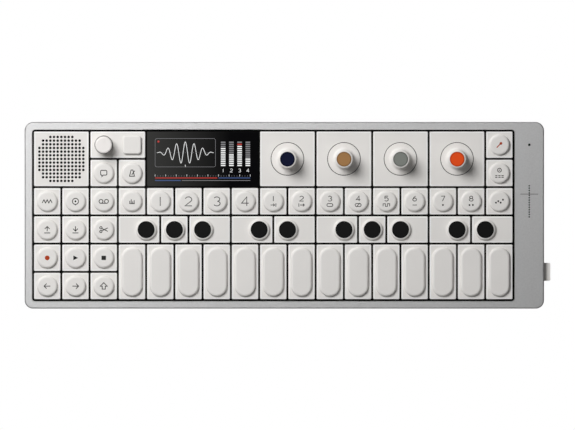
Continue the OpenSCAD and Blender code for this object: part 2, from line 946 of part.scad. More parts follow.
// Tab through the end wall, a flange behind the wall and a peg in the switch
module power_slider() {
    flange_x = right_x - wall_t - slider_gap - slider_flange_w;
    tab_l = right_x + slider_out - flange_x - 0.2;
    color("lightgray")
        translate([0, slider_y, slider_z]) {
            translate([flange_x + 0.2, 0, -slider_h / 2])
                intersection() {
                    translate([0, -slider_l / 2, 0])
                        cube([tab_l, slider_l, slider_h]);
                    flat_block(2 * tab_l, slider_l, 0.8, slider_h);
                }
            translate([flange_x + slider_flange_w / 2, 0, -slider_flange_h / 2])
                box(slider_flange_w, slider_l + 2, slider_flange_h);
            translate([flange_x, 0, -peg_w() / 2])
                box(3, peg_w(), peg_w());
        }
}

module white_key(i) {
    l = 2 * pitch - gap - 2 * pad_margin;
    color("white")
        translate([cx(piano_col + i + 0.5), cy(white_row), 0]) {
            tile(1, 2);
            translate([0, 0, case_top])
                edge_block(pad_w, l, pad_w / 2, button_h)
                    round_section(pad_w / 2, button_h, button_round);
            for (s = [-1, 1])
                translate([0, s * pitch / 2, 0])
                    key_stem();
        }
}

module black_key(i) {
    c0 = piano_col + black_edges[i];
    c1 = piano_col + black_edges[i + 1];
    color("white") {
        translate([(cx(c0) + cx(c1)) / 2, cy(black_row), 0])
            tile(c1 - c0, 1);
        translate([cx(piano_col + black_mids[i]), cy(black_row), 0]) {
            round_button(disc_round);
            translate([0, 0, case_top])
                cylinder(d = disc_d, h = button_h + disc_h);
            key_stem();
        }
    }
}

chassis();
base_plate();
key_deck();
speaker_grille();
control_tiles();
display_glass();
display_panel();
main_board();
key_domes();
rotary_bodies();
battery_pack();
speaker_driver();
side_sockets();
feet();
case_screws();
volume_knob();
bend_paddle();
power_slider();
for (i = [0:3])
    encoder_knob(i);
for (i = [0:3])
    encoder_cap(i);
round_keys(record_cells);  // record_key
round_keys(play_cells);  // play_key
round_keys(stop_cells);  // stop_key
round_keys(cursor_cells);  // cursor_keys
round_keys(edit_cells);  // edit_keys
round_keys(mode_cells);  // mode_keys
round_keys(track_cells);  // track_keys
round_keys(sound_cells);  // sound_keys
round_keys(upper_left_cells);  // upper_left_keys
round_keys(upper_right_cells);  // upper_right_keys
for (i = [0:white_count - 1])
    white_key(i);
for (i = [0:len(black_mids) - 1])
    black_key(i);
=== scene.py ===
"""Finishes, printed key marks, screen picture and stage for a portable synthesizer."""

import math

import bpy
from bpy.props import FloatProperty, FloatVectorProperty, PointerProperty
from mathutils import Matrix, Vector


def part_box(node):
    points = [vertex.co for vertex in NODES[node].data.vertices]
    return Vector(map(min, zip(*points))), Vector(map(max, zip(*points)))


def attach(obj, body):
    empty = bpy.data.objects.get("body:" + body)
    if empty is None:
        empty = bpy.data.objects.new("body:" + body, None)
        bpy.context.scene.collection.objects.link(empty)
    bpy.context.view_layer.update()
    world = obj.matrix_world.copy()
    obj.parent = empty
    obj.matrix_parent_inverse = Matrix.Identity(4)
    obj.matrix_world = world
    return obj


bl_info = {
    "name": "Portable Synthesizer Looks",
    "version": (1, 0, 0),
    "blender": (4, 5, 0),
    "location": "3D View > Sidebar > Synthesizer",
    "description": "Dresses the packed synthesizer and sets up its studio stage",
    "category": "Object",
}

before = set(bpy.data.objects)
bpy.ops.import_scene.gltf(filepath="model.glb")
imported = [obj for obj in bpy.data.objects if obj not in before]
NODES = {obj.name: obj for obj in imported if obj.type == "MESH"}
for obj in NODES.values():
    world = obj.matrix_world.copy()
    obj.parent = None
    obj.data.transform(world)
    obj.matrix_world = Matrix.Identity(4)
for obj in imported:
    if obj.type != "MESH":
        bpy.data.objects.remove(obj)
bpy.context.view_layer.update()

MM = 0.001

# Columns and rows of the key grid, counted from its back left corner
COLUMNS = 17
WHITE_COLUMN = 3
WHITE_ROW = 4
WHITE_ROWS = 2
VOLUME_COLUMN = 2
ENCODER_COLUMN = 8
LARGE_TILE = 2

# The grid in metres, read from the first two white keys
FIRST_LOW, FIRST_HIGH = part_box("white_key_01")
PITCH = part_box("white_key_02")[0].x - FIRST_LOW.x
GRID_LEFT = (FIRST_LOW.x + FIRST_HIGH.x) / 2 - (WHITE_COLUMN + 0.5) * PITCH
GRID_BACK = (FIRST_LOW.y + FIRST_HIGH.y) / 2 + (WHITE_ROW + WHITE_ROWS / 2) * PITCH
TILE_GAP = PITCH - (FIRST_HIGH.x - FIRST_LOW.x)
TILE_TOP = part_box("speaker_grille")[1].z
BUTTON_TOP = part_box("record_key")[1].z
PANEL_X = (GRID_LEFT + COLUMNS * PITCH + TILE_GAP / 2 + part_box("chassis")[1].x) / 2

# Depths under the tile tops that part the painted faces, among them the painted shade in the grille holes
# and the level holes
SKIN_DEPTH = 0.04 * MM
LINE_DEPTH = 0.2 * MM
HOLE_DEPTH = 1.5 * MM
LEVEL_HOLE_DEPTH = 1.9 * MM

# Reach of the painted faces: from the panel's middle line, from the grille's edge and over a button
LEVEL_HOLE_REACH = 1 * MM
LINE_REACH = 5 * MM
GRILLE_MARGIN = 2 * MM
DISC_STEP = 0.02 * MM

# The rounded edge round the case's top, darkened as painted shade: how far in and down it goes, and how far
# up its faces look
RIM_INSET = 2.5 * MM
RIM_DEPTH = 1 * MM
RIM_STEEPEST, RIM_FLATTEST = 0.04, 0.98

# Shares of the metal's colour in the engraved lines and on the base plate
GROOVE_SHADE = 0.42
PLATE_SHADE = 0.92

# The charging socket, from the front low corner of the sockets: its shell, and the dark tongue inside
SOCKET_SKIN = 0.1 * MM
SHELL_W = 9.6 * MM
TONGUE_Y = 4.7 * MM
TONGUE_RISE = 0.4 * MM
TONGUE_HALF_W = 3.3 * MM
TONGUE_HALF_H = 0.5 * MM

# A tile's bevel and corner in millimetres, and the thickness of the painted highlight sheet along its edge
# in metres
TILE_BEVEL = 0.25
TILE_CORNER = 0.3
HIGHLIGHT_FILM = 0.012 * MM

# Share of the noise that a drift spans, and the sharpest corner of a printed line
NOISE_LOW, NOISE_HIGH = 0.3, 0.7
MITRE_LIMIT = 0.45
NO_LENGTH = 1e-6

# Turned rings on the caps: their spacing, and the length of a ring wave at scale 1
RING_PITCH = 0.5 * MM
RING_WAVE = 0.314

# The painted shade on the outer ring of a cap, in shares of its radius and of its colour
OUTER_START, OUTER_END = 0.78, 0.98
CAP_RIM_PAINTED_SHADE = 0.55

# Share of the display's width that the painted reflection covers
REFLECTION_END = 0.75

# Where the lights stand, seen from the object, and where the fill is strongest
KEY_WAY = (-0.433, 0.478, 0.757)
CASE_WAY = (-0.262, 0.28, 0.92)
EDGE_WAY = (-0.55, 0.75, 0.20)
FRONT_WAY = (0.10, -0.85, 0.50)
FILL_WAY = (-0.7, 0.6, 0.0)
WIDE_DISTANCE = 3.0
EDGE_SIZE = 2.2
FRONT_SIZE = 2.0

# The floor's half width and its drop under the feet
FLOOR_HALF = 4.0
FLOOR_DROP = 0.2 * MM

# The camera's sensor in millimetres, the point it looks at and its lean from straight above
SENSOR = 36.0
CAMERA_AIM = Vector((-0.025 * MM, 0.245 * MM, TILE_TOP))
CAMERA_LEAN = Vector((0.0, 0.017, 1.0))

WHITE_KEYS = sorted(name for name in NODES if name.startswith("white_key_"))
BLACK_KEYS = sorted(name for name in NODES if name.startswith("black_key_"))
ENCODERS = (1, 2, 3, 4)

# Column and row of every round key, by the node that holds it
ROUND_KEYS = {
    "upper_left_keys": [(2, 1), (3, 1)],
    "upper_right_keys": [(16, 0), (16, 1)],
    "mode_keys": [(0, 2), (1, 2), (2, 2), (3, 2), (16, 2)],
    "track_keys": [(4, 2), (5, 2), (6, 2), (7, 2)],
    "sound_keys": [(8, 2), (9, 2), (10, 2), (11, 2), (12, 2), (13, 2), (14, 2), (15, 2)],
    "edit_keys": [(0, 3), (1, 3), (2, 3)],
    "record_key": [(0, 4)],
    "play_key": [(1, 4)],
    "stop_key": [(2, 4)],
    "cursor_keys": [(0, 5), (1, 5), (2, 5)],
}


def colour(name, description, default):
    """A colour setting."""
    return FloatVectorProperty(
        name=name, description=description, subtype="COLOR", size=3, min=0.0, max=1.0, default=default
    )


def length(name, description, default):
    """A length setting in metres."""
    return FloatProperty(
        name=name, description=description, unit="LENGTH", min=0.0, default=default, precision=5
    )


def factor(name, description, default):
    """A setting from 0 to 1."""
    return FloatProperty(
        name=name, description=description, subtype="FACTOR", min=0.0, max=1.0, default=default
    )


def power(name, description, default):
    """A light's power in watts."""
    return FloatProperty(name=name, description=description, unit="POWER", min=0.0, default=default)


def strength(name, description, default):
    """A setting from 0 up."""
    return FloatProperty(name=name, description=description, min=0.0, default=default)


class CaseLook(bpy.types.PropertyGroup):
    """Finish of the metal case."""

    metal: colour("Metal", "Colour of the blasted and anodised metal", (0.80, 0.80, 0.80))
    # Darker metal on the rounded upper edge: painted shade.
    edge: colour("Edge", "Colour of the rounded upper edge", (0.66, 0.66, 0.66))
    roughness: factor("Roughness", "How far the blasted metal spreads the light", 0.45)
    blast_pit: length("Blast pit", "Width of one pit of the blasted metal", 0.25 * MM)
    # Near-black walls of the level holes: painted shade.
    lens: colour("Lens", "Colour of the painted shade in the level holes", (0.010, 0.010, 0.011))
    deck: colour("Deck", "Colour of the dark deck between the tiles", (0.004, 0.004, 0.004))


class KeyLook(bpy.types.PropertyGroup):
    """Finish of the keys and tiles."""

    plastic: colour("Plastic", "Colour of the moulded tiles and keys", (0.86, 0.838, 0.81))
    # A near-white band along every tile's edge: a painted highlight.
    edge: colour("Edge", "Colour of the polished edge of every tile", (1.0, 1.0, 0.985))
    edge_width: length("Edge width", "Width of the polished edge", 0.55 * MM)
    black: colour("Black", "Colour of the discs on the black keys", (0.006, 0.006, 0.006))
    # Near-black walls inside the grille holes: painted shade.
    hole: colour("Grille hole", "Colour of the painted shade inside the grille holes", (0.003, 0.003, 0.003))
    roughness: factor("Roughness", "How matte the moulded plastic is", 0.55)


class MarkLook(bpy.types.PropertyGroup):
    """Printing on the keys."""

    ink: colour("Ink", "Colour of the key symbols", (0.020, 0.019, 0.018))
    pale_ink: colour("Pale ink", "Colour of the quieter key symbols", (0.075, 0.073, 0.070))
    red_ink: colour("Red ink", "Colour of the record mark", (0.44, 0.046, 0.006))
    stroke: length("Stroke", "Width of a printed line", 0.44 * MM)
    film: length("Film", "Thickness of the printed film", 0.02 * MM)


class KnobLook(bpy.types.PropertyGroup):
    """Finish of the knobs and their caps."""

    plastic: colour("Plastic", "Colour of the encoder knobs", (0.875, 0.848, 0.818))
    volume: colour("Volume", "Colour of the volume knob", (0.94, 0.905, 0.875))
    cap_1: colour("First cap", "Colour of the first encoder cap", (0.0036, 0.0061, 0.0296))
    cap_2: colour("Second cap", "Colour of the second encoder cap", (0.405, 0.215, 0.084))
    cap_3: colour("Third cap", "Colour of the third encoder cap", (0.242, 0.255, 0.232))
    cap_4: colour("Fourth cap", "Colour of the fourth encoder cap", (0.89, 0.089, 0.0125))


class ScreenLook(bpy.types.PropertyGroup):
    """The lit picture on the display."""

    glass: colour("Glass", "Colour of the dark display glass", (0.003, 0.003, 0.0035))
    painted_reflection: colour("Painted reflection", "Colour of the painted reflection at the left of the glass", (0.046, 0.046, 0.044))
    white: colour("White", "Colour of the bright lines", (0.85, 0.86, 0.86))
    grey: colour("Grey", "Colour of the dim lines", (0.20, 0.20, 0.21))
    red: colour("Red", "Colour of the red lines", (0.50, 0.030, 0.020))
    blue: colour("Blue", "Colour of the blue lines", (0.040, 0.085, 0.24))
    film: length("Film", "Height of the lit lines over the glass", 0.02 * MM)


class StageLook(bpy.types.PropertyGroup):
    """Floor, lights and camera."""

    floor: colour("Floor", "Colour of the floor", (0.80, 0.80, 0.80))
    floor_glow: strength("Floor glow", "Brightness of the floor in the picture", 1.0)
    key_power: power("Key light", "Power of the large light at the back left", 9.2)
    key_size: length("Key light size", "Side of the large light", 0.54)
    key_distance: length("Key light distance", "Distance of the large light", 1.0)
    case_power: power("Case light", "Power of the steeper light on the metal case", 3.15)
    edge_power: power("Edge light", "Power of the low light on the case's back edge", 12.0)
    front_power: power("Front light", "Power of the wide light at the front", 7.0)
    fill: strength("Fill", "Strength of the fill at the back left", 0.15)
    frame_width: length("Frame width", "Width of the picture at the top of the keys", 0.3143)
    camera_distance: length("Camera distance", "Height of the camera over the keys", 9.0)


class Sheet:
    """Thin flat shapes, collected in millimetres about a moving origin, that become one mesh piece."""

    def __init__(self, z, thick):
        self.z, self.thick = z, thick
        self.x = self.y = 0.0
        self.verts, self.faces = [], []

    def at(self, x, y):
        """Moves the origin to a point of the model, in metres."""
        self.x, self.y = x, y
        return self

    def ring(self, points, z):
        """Adds the points at one height and returns their numbers."""
        first = len(self.verts)
        self.verts += [(self.x + px * MM, self.y + py * MM, z) for px, py in points]
        return list(range(first, len(self.verts)))

    def fill(self, points):
        """A filled outline, given anticlockwise."""
        low, high = self.ring(points, self.z), self.ring(points, self.z + self.thick)
        self.faces.append(high)
        self.faces.append(low[::-1])
        for i in range(len(points)):
            j = (i + 1) % len(points)
            self.faces.append([low[i], low[j], high[j], high[i]])

    def dot(self, x, y, r, sides=28):
        """A filled disc."""
        self.fill(circle(x, y, r, sides))

    def stroke(self, points, width, closed=False):
        """A line of even width with mitred corners."""
        right, left = side_lines(points, width / 2, closed)
        low_r, low_l = self.ring(right, self.z), self.ring(left, self.z)
        high_r, high_l = self.ring(right, self.z + self.thick), self.ring(left, self.z + self.thick)
        count = len(points)
        for i in range(count if closed else count - 1):
            j = (i + 1) % count
            self.faces.append([high_r[i], high_r[j], high_l[j], high_l[i]])
            self.faces.append([low_r[j], low_r[i], low_l[i], low_l[j]])
            self.faces.append([low_r[i], low_r[j], high_r[j], high_r[i]])
            self.faces.append([low_l[j], low_l[i], high_l[i], high_l[j]])
        if not closed:
            self.faces.append([low_l[0], low_r[0], high_r[0], high_l[0]])
            self.faces.append([low_r[-1], low_l[-1], high_l[-1], high_r[-1]])

    def piece(self, name, material, body):
        """Turns the shapes into one piece that rides on a body."""
        mesh = bpy.data.meshes.new(name)
        mesh.from_pydata(self.verts, [], self.faces)
        mesh.validate()
        mesh.materials.append(material)
        obj = bpy.data.objects.new(name, mesh)
        bpy.context.scene.collection.objects.link(obj)
        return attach(obj, body)


def side_lines(points, half, closed):
    """The two lines that run beside a line of points."""
    right, left = [], []
    count = len(points)
    for i, (x, y) in enumerate(points):
        before = points[i - 1] if closed or i > 0 else None
        after = points[(i + 1) % count] if closed or i < count - 1 else None
        ways = []
        if before is not None:
            ways.append(Vector((x - before[0], y - before[1])).normalized())
        if after is not None:
            ways.append(Vector((after[0] - x, after[1] - y)).normalized())
        way = sum(ways, Vector((0.0, 0.0)))
        way = way.normalized() if way.length > NO_LENGTH else ways[0]
        reach = half / max(way.dot(ways[0]), MITRE_LIMIT)
        right.append((x + way.y * reach, y - way.x * reach))
        left.append((x - way.y * reach, y + way.x * reach))
    return right, left


def arc(x, y, r, start, end, steps, ry=None):
    """Points along an arc, in degrees, the end included."""
    ry = r if ry is None else ry
    angles = [math.radians(start + (end - start) * i / steps) for i in range(steps + 1)]
    return [(x + r * math.cos(a), y + ry * math.sin(a)) for a in angles]


def circle(x, y, r, sides, ry=None):
    """Points round a circle or an ellipse, each once."""
    return arc(x, y, r, 0, 360, sides, ry)[:-1]


def rounded(w, d, r, steps=6):
    """Outline of a rounded rectangle about the origin, anticlockwise."""
    points = []
    for sx, sy, start in ((1, -1, -90), (1, 1, 0), (-1, 1, 90), (-1, -1, 180)):
        points += arc(sx * (w / 2 - r), sy * (d / 2 - r), r, start, start + 90, steps)
    return points


def moved(points, x, y, sx=1.0, sy=1.0):
    """Points scaled and then moved."""
    return [(x + px * sx, y + py * sy) for px, py in points]


def digit(number):
    """Lines of a plain digit in a box of one by one about the origin: (points, closed)."""
    shapes = {
        1: [([(0, 0.5), (0, -0.5)], False)],
        2: [(arc(0, 0.2, 0.42, 165, -28, 16, 0.3) + [(-0.45, -0.5), (0.45, -0.5)], False)],
        3: [
            (arc(0, 0.25, 0.38, 150, -80, 14, 0.25), False),
            (arc(0, -0.24, 0.43, 80, -150, 16, 0.26), False),
        ],
        4: [([(0.22, -0.5), (0.22, 0.5), (-0.45, -0.2), (0.48, -0.2)], False)],
        5: [([(0.38, 0.5), (-0.32, 0.5), (-0.36, 0.06)] + arc(0, -0.16, 0.42, 138, -150, 18, 0.34), False)],
        6: [
            (circle(0, -0.2, 0.42, 24, 0.3), True),
            ([(0.22, 0.5), (-0.12, 0.28), (-0.34, 0.02), (-0.42, -0.2)], False),
        ],
        7: [([(-0.42, 0.5), (0.42, 0.5), (-0.1, -0.5)], False)],
        8: [
            (circle(0, 0.25, 0.34, 20, 0.25), True),
            (circle(0, -0.24, 0.43, 22, 0.26), True),
        ],
    }
    return shapes[number]


def cell_centre(column, row):
    """Middle of a grid cell, in metres."""
    return GRID_LEFT + (column + 0.5) * PITCH, GRID_BACK - (row + 0.5) * PITCH


def node_material(name):
    """A new material with a plain principled shader: (material, nodes, links, shader)."""
    material = bpy.data.materials.new(name)
    material.use_nodes = True
    tree = material.node_tree
    tree.nodes.clear()
    out = tree.nodes.new("ShaderNodeOutputMaterial")
    shader = tree.nodes.new("ShaderNodeBsdfPrincipled")
    tree.links.new(shader.outputs["BSDF"], out.inputs["Surface"])
    return material, tree.nodes, tree.links, shader


def model_place(nodes):
    """The place of a point on the model, in metres."""
    return nodes.new("ShaderNodeTexCoord").outputs["Object"]


def noise(nodes, links, size, detail):
    """Noise over the model with lumps of the given size, in metres."""
    texture = nodes.new("ShaderNodeTexNoise")
    texture.inputs["Scale"].default_value = 1.0 / size
    texture.inputs["Detail"].default_value = detail
    links.new(model_place(nodes), texture.inputs["Vector"])
    return texture.outputs["Fac"]


def spread(nodes, links, value, low, high):
    """Turns a noise value into a range of numbers."""
    span = nodes.new("ShaderNodeMapRange")
    span.inputs["From Min"].default_value = NOISE_LOW
    span.inputs["From Max"].default_value = NOISE_HIGH
    span.inputs["To Min"].default_value = low
    span.inputs["To Max"].default_value = high
    links.new(value, span.inputs["Value"])
    return span.outputs["Result"]


def shaded(base, share):
    """A colour times a share, white at most."""
    return [min(c * share, 1.0) for c in base]


def ramped(nodes, links, value, *stops):
    """Turns a value into a colour between two stops, each a position and a colour."""
    ramp = nodes.new("ShaderNodeValToRGB")
    for element, (position, base) in zip(ramp.color_ramp.elements, stops):
        element.position = position
        element.color = [*base, 1.0]
    links.new(value, ramp.inputs["Fac"])
    return ramp.outputs["Color"]


def tinted(nodes, links, value, base, change):
    """Turns a noise value into a colour that drifts about the base."""
    dark, bright = shaded(base, 1 - change), shaded(base, 1 + change)
    return ramped(nodes, links, value, (NOISE_LOW, dark), (NOISE_HIGH, bright))


def faded(nodes, links, value, start, end, *stops):
    """Turns a value that runs from start to end into a colour between two stops."""
    share = nodes.new("ShaderNodeMapRange")
    share.inputs["From Min"].default_value = start
    share.inputs["From Max"].default_value = end
    links.new(value, share.inputs["Value"])
    return ramped(nodes, links, share.outputs["Result"], *stops)


def surface(
    name,
    base,
    roughness,
    metallic=0.0,
    drift=0.02,
    drift_size=20 * MM,
    rough_drift=0.04,
    grain=0.2 * MM,
    grain_depth=0.01 * MM,
    grain_strength=0.25,
    specular=0.5,
):
    """A finish whose colour and gloss drift slowly and whose grain is a fine bump."""
    material, nodes, links, shader = node_material(name)
    slow = noise(nodes, links, drift_size, 3.0)
    fine = noise(nodes, links, grain, 2.0)
    links.new(tinted(nodes, links, slow, base, drift), shader.inputs["Base Color"])
    gloss = spread(nodes, links, slow, roughness - rough_drift, roughness + rough_drift)
    links.new(gloss, shader.inputs["Roughness"])
    bump = nodes.new("ShaderNodeBump")
    bump.inputs["Strength"].default_value = grain_strength
    bump.inputs["Distance"].default_value = grain_depth
    links.new(fine, bump.inputs["Height"])
    links.new(bump.outputs["Normal"], shader.inputs["Normal"])
    shader.inputs["Metallic"].default_value = metallic
    shader.inputs["Specular IOR Level"].default_value = specular
    return material


def lit_line(name, base):
    """A lit line of the screen, with the faint unevenness of its dots."""
    material, nodes, links, shader = node_material(name)
    dots = noise(nodes, links, 0.3 * MM, 1.0)
    links.new(tinted(nodes, links, dots, base, 0.06), shader.inputs["Emission Color"])
    shader.inputs["Base Color"].default_value = (0.01, 0.01, 0.01, 1.0)
    shader.inputs["Emission Strength"].default_value = 1.0
    shader.inputs["Roughness"].default_value = 0.4
    return material


def shared(name, base, roughness, **finish):
    """The finish of that name, made the first time it is asked for."""
    return bpy.data.materials.get(name) or surface(name, base, roughness, **finish)


def tile_plastic(look):
    """Moulded warm white plastic of the tiles and keys."""
    name = "moulded key plastic"
    return shared(name, look.plastic, look.roughness, drift=0.015, grain=0.12 * MM, specular=0.4)


def painted_highlight_plastic(look):
    """Painted highlight along the tiles' edges."""
    name = "polished tile edge"
    return shared(name, look.edge, 0.35, drift_size=6 * MM, grain=0.4 * MM, grain_strength=0.1)


def ink(name, base):
    """Printed film with a slightly uneven lay."""
    return shared(name, base, 0.6, drift=0.12, drift_size=0.5 * MM, grain=0.1 * MM, specular=0.25)


def dress(node, *materials):
    """Gives a CAD node its materials, the first one all over."""
    data = NODES[node].data
    data.materials.clear()
    for material in materials:
        data.materials.append(material)
    for polygon in data.polygons:
        polygon.material_index = 0
    return data


def paint_where(data, index, test):
    """Gives the faces that pass the test another material."""
    for polygon in data.polygons:
        if test(polygon):
            polygon.material_index = index


def sunk(face, deep, shallow):
    """Whether a face lies between two depths under the tile tops."""
    return TILE_TOP - deep < face.center.z < TILE_TOP - shallow


def painted_edge_highlights(name, tiles, body, look):
    """Painted highlights along the edges of some tiles: each tile is its low corner and high corner in
    metres.
    """
    sheet = Sheet(TILE_TOP, HIGHLIGHT_FILM)
    inset = TILE_BEVEL + look.edge_width / MM / 2
    for low, high in tiles:
        sheet.at((low[0] + high[0]) / 2, (low[1] + high[1]) / 2)
        w = (high[0] - low[0]) / MM - 2 * inset
        d = (high[1] - low[1]) / MM - 2 * inset
        sheet.stroke(rounded(w, d, TILE_CORNER, 3), look.edge_width / MM, closed=True)
    return sheet.piece(name, painted_highlight_plastic(look), body)


def cell_tile(column, row, columns=1, rows=1):
    """Corners of the tile that fills some cells."""
    x, y = GRID_LEFT + column * PITCH, GRID_BACK - row * PITCH
    half = TILE_GAP / 2
    low = (x + half, y - rows * PITCH + half)
    return low, (low[0] + columns * PITCH - TILE_GAP, low[1] + rows * PITCH - TILE_GAP)


class CaseFinish(bpy.types.Operator):
    """Blasted metal on the case and the base plate"""

    bl_idname = "synthesizer.case_finish"
    bl_label = "Metal case"

    def execute(self, context):
        look = context.scene.synthesizer_case
        blasted = {
            "metallic": 1.0,
            "drift": 0.03,
            "drift_size": 1.1 * MM,
            "rough_drift": 0.012,
            "grain": look.blast_pit,
            "grain_depth": 0.02 * MM,
        }
        metal = surface("blasted metal", look.metal, look.roughness, **blasted)
        lens = surface("dark level lens", look.lens, 0.3, drift=0.2, drift_size=2 * MM, specular=0.3)
        dull = shaded(look.metal, GROOVE_SHADE)
        groove = surface("dull engraved metal", dull, 0.6, metallic=1.0, drift=0.05)
        # The rounded upper edge gets darker metal: painted shade that dims its highlight and darkens its
        # outer line.
        rim = {"metallic": 1.0, "drift": 0.06, "drift_size": 3 * MM}
        edge = surface("rounded metal edge", look.edge, look.roughness + 0.08, **rim)
        data = dress("chassis", metal, lens, groove, edge)
        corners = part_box("chassis")
        # The walls of the level holes get near-black painted shade.
        paint_where(data, 1, lambda face: self.on_panel(face, LEVEL_HOLE_REACH, LEVEL_HOLE_DEPTH, LINE_DEPTH))
        paint_where(data, 2, lambda face: self.on_panel(face, LINE_REACH, LINE_DEPTH, SKIN_DEPTH))
        paint_where(data, 3, lambda face: self.on_upper_edge(face, *corners))
        plate = shaded(look.metal, PLATE_SHADE)
        dress("base_plate", surface("blasted base metal", plate, look.roughness + 0.03, **blasted))
        return {"FINISHED"}

    def on_panel(self, face, reach, deep, shallow):
        """Whether a face lies by the right panel's middle line and between two depths."""
        return abs(face.center.x - PANEL_X) < reach and sunk(face, deep, shallow)

    def on_upper_edge(self, face, low, high):
        """Whether a face of the case lies on the rounded edge round its top."""
        x, y, z = face.center
        inset = min(x - low.x, high.x - x, y - low.y, high.y - y)
        rounded_face = RIM_STEEPEST < face.normal.z < RIM_FLATTEST
        return inset < RIM_INSET and z > high.z - RIM_DEPTH and rounded_face


class InnerFinish(bpy.types.Operator):
    """Finishes of the deck and of the pieces inside the case"""

    bl_idname = "synthesizer.inner_finish"
    bl_label = "Inner pieces"

    def execute(self, context):
        look = context.scene.synthesizer_case
        dress("key_deck", surface("black deck", look.deck, 0.6, drift=0.1, grain=0.3 * MM, specular=0.15))
        dress("display_panel", surface("black panel", (0.004, 0.004, 0.004), 0.5, drift=0.1, specular=0.3))
        lacquer = surface("board lacquer", (0.012, 0.05, 0.03), 0.35, drift=0.25, drift_size=4 * MM)
        dress("main_board", lacquer)
        dress("key_domes", surface("grey silicone", (0.30, 0.30, 0.31), 0.7, drift=0.05, grain=0.5 * MM))
        dress("rotary_bodies", surface("rolled steel", (0.55, 0.55, 0.56), 0.35, metallic=1.0, drift=0.05))
        dress("battery_pack", surface("battery foil", (0.50, 0.51, 0.53), 0.3, metallic=0.8, drift=0.08))
        driver = surface("black driver", (0.008, 0.008, 0.008), 0.6, drift=0.2, grain=0.4 * MM)
        dress("speaker_driver", driver)
        return {"FINISHED"}


class TileFinish(bpy.types.Operator):
    """Speaker tile, volume tile and the four encoder tiles"""

    bl_idname = "synthesizer.tile_finish"
    bl_label = "Fixed tiles"

    def execute(self, context):
        look = context.scene.synthesizer_keys
        plastic = tile_plastic(look)
        hole = surface("black grille hole", look.hole, 0.8, drift=0.2, drift_size=1 * MM, specular=0.05)
        data = dress("speaker_grille", plastic, hole)
        # The walls of the grille holes get near-black painted shade.
        paint_where(data, 1, self.in_grille_hole)
        dress("control_tiles", plastic)
        tiles = [cell_tile(0, 0, LARGE_TILE, LARGE_TILE), cell_tile(VOLUME_COLUMN, 0, LARGE_TILE)]
        for number in range(len(ENCODERS)):
            tiles.append(cell_tile(ENCODER_COLUMN + LARGE_TILE * number, 0, LARGE_TILE, LARGE_TILE))
        # The fixed tiles get painted highlights along their edges.
        painted_edge_highlights("fixed_tile_edges", tiles, "case", look)
        return {"FINISHED"}

    def in_grille_hole(self, face):
        """Whether a face lies in one of the grille's holes."""
        x, y = GRID_LEFT + PITCH, GRID_BACK - PITCH
        off = max(abs(face.center.x - x), abs(face.center.y - y))
        return off < PITCH - GRILLE_MARGIN and sunk(face, HOLE_DEPTH, SKIN_DEPTH)


class RoundKeyFinish(bpy.types.Operator):
    """The thirty round keys and the painted highlights on their tile edges"""

    bl_idname = "synthesizer.round_key_finish"
    bl_label = "Round keys"

    def execute(self, context):
        look = context.scene.synthesizer_keys
        for node, cells in ROUND_KEYS.items():
            dress(node, tile_plastic(look))
            painted_edge_highlights(node + "_edges", [cell_tile(*cell) for cell in cells], node + "_body", look)
        return {"FINISHED"}


class WhiteKeyFinish(bpy.types.Operator):
    """The fourteen white keys and the painted highlights on their tile edges"""

    bl_idname = "synthesizer.white_key_finish"
    bl_label = "White keys"

    def execute(self, context):
        look = context.scene.synthesizer_keys
        for number, node in enumerate(WHITE_KEYS):
            dress(node, tile_plastic(look))
            tile = cell_tile(WHITE_COLUMN + number, WHITE_ROW, rows=WHITE_ROWS)
            painted_edge_highlights(node + "_edge", [tile], node + "_body", look)
        return {"FINISHED"}


class BlackKeyFinish(bpy.types.Operator):
    """The ten black keys: pale tile and button with a black disc"""

    bl_idname = "synthesizer.black_key_finish"
    bl_label = "Black keys"

    def execute(self, context):
        look = context.scene.synthesizer_keys
        black = surface("black disc", look.black, 0.6, drift=0.1, grain=0.25 * MM, specular=0.12)
        for node in BLACK_KEYS:
            data = dress(node, tile_plastic(look), black)
            paint_where(data, 1, lambda face: face.center.z > BUTTON_TOP + DISC_STEP)
            low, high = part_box(node)
            # Each black key's tile gets a painted highlight along its edge.
            painted_edge_highlights(node + "_edge", [((low.x, low.y), (high.x, high.y))], node + "_body", look)
        return {"FINISHED"}


